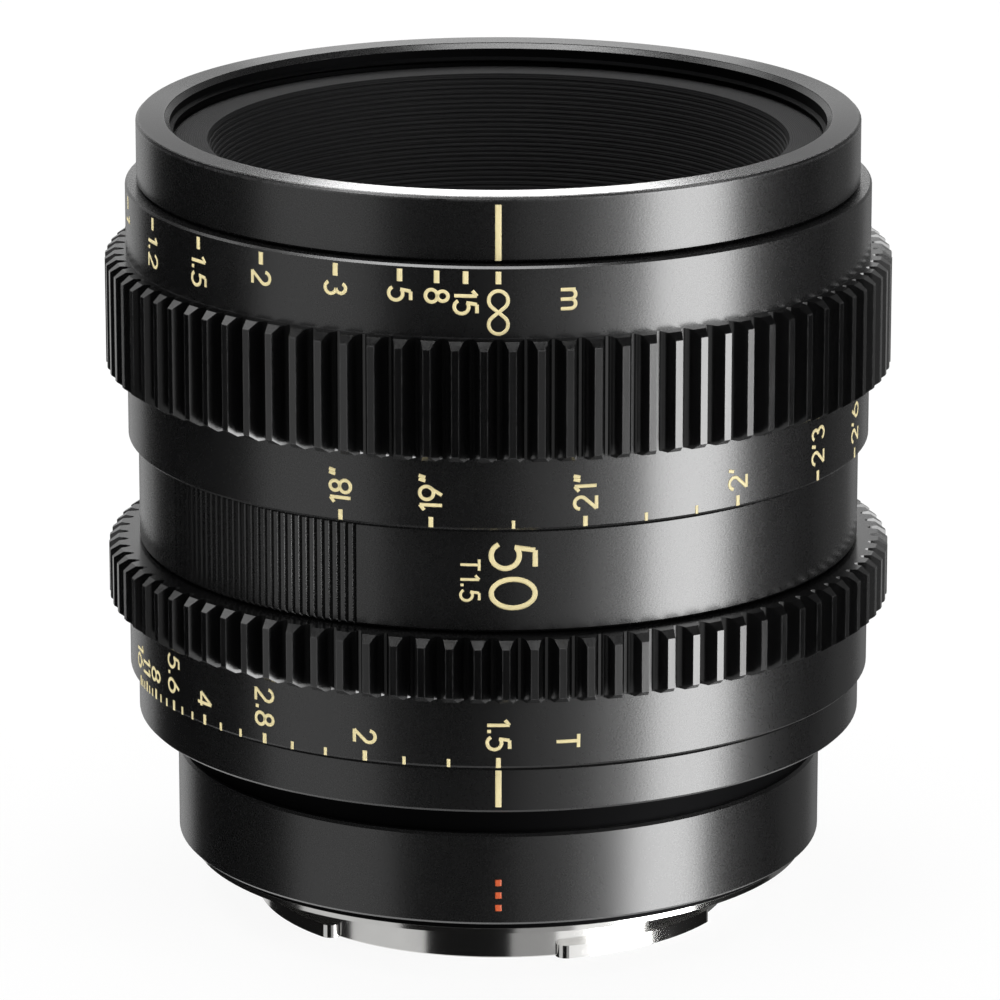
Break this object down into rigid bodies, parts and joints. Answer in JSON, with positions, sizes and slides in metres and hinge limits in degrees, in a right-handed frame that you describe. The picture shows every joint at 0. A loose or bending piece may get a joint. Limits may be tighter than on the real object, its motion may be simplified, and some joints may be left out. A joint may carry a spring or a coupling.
{
  "type": "cinema prime lens",
  "caption": "Manual 50 mm cinema prime lens with geared focus and iris rings, a ringed front baffle, glass groups that slide, a working leaf iris and a chrome bayonet.",
  "frame": {"origin": "on the optical axis, in the plane of the flange that seats on the camera", "axes": "+Z along the optical axis from the camera towards the front; -Y towards the index line"},
  "size_m": [0.0736, 0.0736, 0.0755],
  "materials": {
    "black_anodised": "satin black anodising",
    "gear_black": "semi-gloss black anodising",
    "black_baffle": "matt black",
    "inner_aluminium": "plain black anodising",
    "chrome_mount": "turned and plated",
    "brass_shim": "plain",
    "steel_fasteners": "plain",
    "blade_steel": "blackened",
    "glide_polymer": "slippery",
    "coated_glass": "multicoated"
  },
  "bodies": {
    "barrel": {"front_ring": "black_anodised", "ribbed_baffle": "black_baffle", "main_barrel": "inner_aluminium", "mid_barrel": "black_anodised", "rear_barrel": "black_anodised", "mount_barrel": "black_anodised", "mount_shim": "brass_shim", "bayonet_mount": "chrome_mount", "mount_screws": "steel_fasteners", "rear_baffle": "black_baffle", "focus_glide_front": "glide_polymer", "focus_glide_rear": "glide_polymer", "iris_glide_ring": "glide_polymer", "focus_stop_pin": "steel_fasteners", "iris_stop_pin": "steel_fasteners"},
    "focus": {"focus_ring": "black_anodised", "focus_gear": "gear_black", "focus_scale_ring": "black_anodised", "cam_sleeve": "inner_aluminium", "drive_screws": "steel_fasteners"},
    "optics": {"lens_carriage": "inner_aluminium", "cam_rollers": "brass_shim", "roller_screws": "steel_fasteners", "front_cell": "black_baffle", "front_retaining_ring": "black_baffle", "carriage_lock_ring": "black_baffle", "front_element": "coated_glass", "second_element": "coated_glass", "third_element": "coated_glass", "front_spacer": "black_baffle", "middle_spacer": "black_baffle", "iris_housing": "inner_aluminium", "iris_cover": "black_baffle", "blade_posts": "steel_fasteners", "rear_cell": "black_baffle", "fourth_element": "coated_glass", "fifth_element": "coated_glass", "sixth_element": "coated_glass", "seventh_element": "coated_glass", "rear_upper_spacer": "black_baffle", "rear_lower_spacer": "black_baffle", "rear_retaining_ring": "black_baffle"},
    "iris_control": {"iris_ring": "black_anodised", "iris_gear": "gear_black", "iris_fork": "blade_steel", "fork_screws": "steel_fasteners"},
    "iris_cam": {"iris_cam_ring": "brass_shim"},
    "blade_1": {"iris_blade_1": "blade_steel"},
    "blade_2": {"iris_blade_2": "blade_steel"},
    "blade_3": {"iris_blade_3": "blade_steel"},
    "blade_4": {"iris_blade_4": "blade_steel"},
    "blade_5": {"iris_blade_5": "blade_steel"},
    "blade_6": {"iris_blade_6": "blade_steel"},
    "blade_7": {"iris_blade_7": "blade_steel"},
    "blade_8": {"iris_blade_8": "blade_steel"},
    "blade_9": {"iris_blade_9": "blade_steel"}
  },
  "joints": [
    {"name": "focus_turn", "type": "hinge", "parent": "barrel", "child": "focus", "pos_m": [0, 0, 0], "axis": [0, 0, 1], "range_deg": [0, 205]},
    {"name": "optics_slide", "type": "slide", "parent": "barrel", "child": "optics", "axis": [0, 0, 1], "range_m": [0, 0.00718]},
    {"name": "iris_turn", "type": "hinge", "parent": "barrel", "child": "iris_control", "pos_m": [0, 0, 0], "axis": [0, 0, 1], "range_deg": [0, 73.5]},
    {"name": "iris_cam_turn", "type": "hinge", "parent": "optics", "child": "iris_cam", "pos_m": [0, 0, 0], "axis": [0, 0, 1], "range_deg": [0, 73.5]},
    {"name": "blade_1_turn", "type": "hinge", "parent": "optics", "child": "blade_1", "pos_m": [0, -0.0214, 0.0183], "axis": [0, 0, 1], "range_deg": [0, 30.35]},
    {"name": "blade_2_turn", "type": "hinge", "parent": "optics", "child": "blade_2", "pos_m": [0.01376, -0.01639, 0.0183], "axis": [0, 0, 1], "range_deg": [0, 30.35]},
    {"name": "blade_3_turn", "type": "hinge", "parent": "optics", "child": "blade_3", "pos_m": [0.02107, -0.00372, 0.0183], "axis": [0, 0, 1], "range_deg": [0, 30.35]},
    {"name": "blade_4_turn", "type": "hinge", "parent": "optics", "child": "blade_4", "pos_m": [0.01853, 0.0107, 0.0183], "axis": [0, 0, 1], "range_deg": [0, 30.35]},
    {"name": "blade_5_turn", "type": "hinge", "parent": "optics", "child": "blade_5", "pos_m": [0.00732, 0.02011, 0.0183], "axis": [0, 0, 1], "range_deg": [0, 30.35]},
    {"name": "blade_6_turn", "type": "hinge", "parent": "optics", "child": "blade_6", "pos_m": [-0.00732, 0.02011, 0.0183], "axis": [0, 0, 1], "range_deg": [0, 30.35]},
    {"name": "blade_7_turn", "type": "hinge", "parent": "optics", "child": "blade_7", "pos_m": [-0.01853, 0.0107, 0.0183], "axis": [0, 0, 1], "range_deg": [0, 30.35]},
    {"name": "blade_8_turn", "type": "hinge", "parent": "optics", "child": "blade_8", "pos_m": [-0.02107, -0.00372, 0.0183], "axis": [0, 0, 1], "range_deg": [0, 30.35]},
    {"name": "blade_9_turn", "type": "hinge", "parent": "optics", "child": "blade_9", "pos_m": [-0.01376, -0.01639, 0.0183], "axis": [0, 0, 1], "range_deg": [0, 30.35]}
  ],
  "couplings": [
    {"joint": "optics_slide", "follows": "focus_turn", "m_per_rad": 0.0020054},
    {"joint": "iris_cam_turn", "follows": "iris_turn", "ratio": 1},
    {"joint": "blade_1_turn", "follows": "iris_turn", "ratio": 0.41279},
    {"joint": "blade_2_turn", "follows": "iris_turn", "ratio": 0.41279},
    {"joint": "blade_3_turn", "follows": "iris_turn", "ratio": 0.41279},
    {"joint": "blade_4_turn", "follows": "iris_turn", "ratio": 0.41279},
    {"joint": "blade_5_turn", "follows": "iris_turn", "ratio": 0.41279},
    {"joint": "blade_6_turn", "follows": "iris_turn", "ratio": 0.41279},
    {"joint": "blade_7_turn", "follows": "iris_turn", "ratio": 0.41279},
    {"joint": "blade_8_turn", "follows": "iris_turn", "ratio": 0.41279},
    {"joint": "blade_9_turn", "follows": "iris_turn", "ratio": 0.41279}
  ]
}
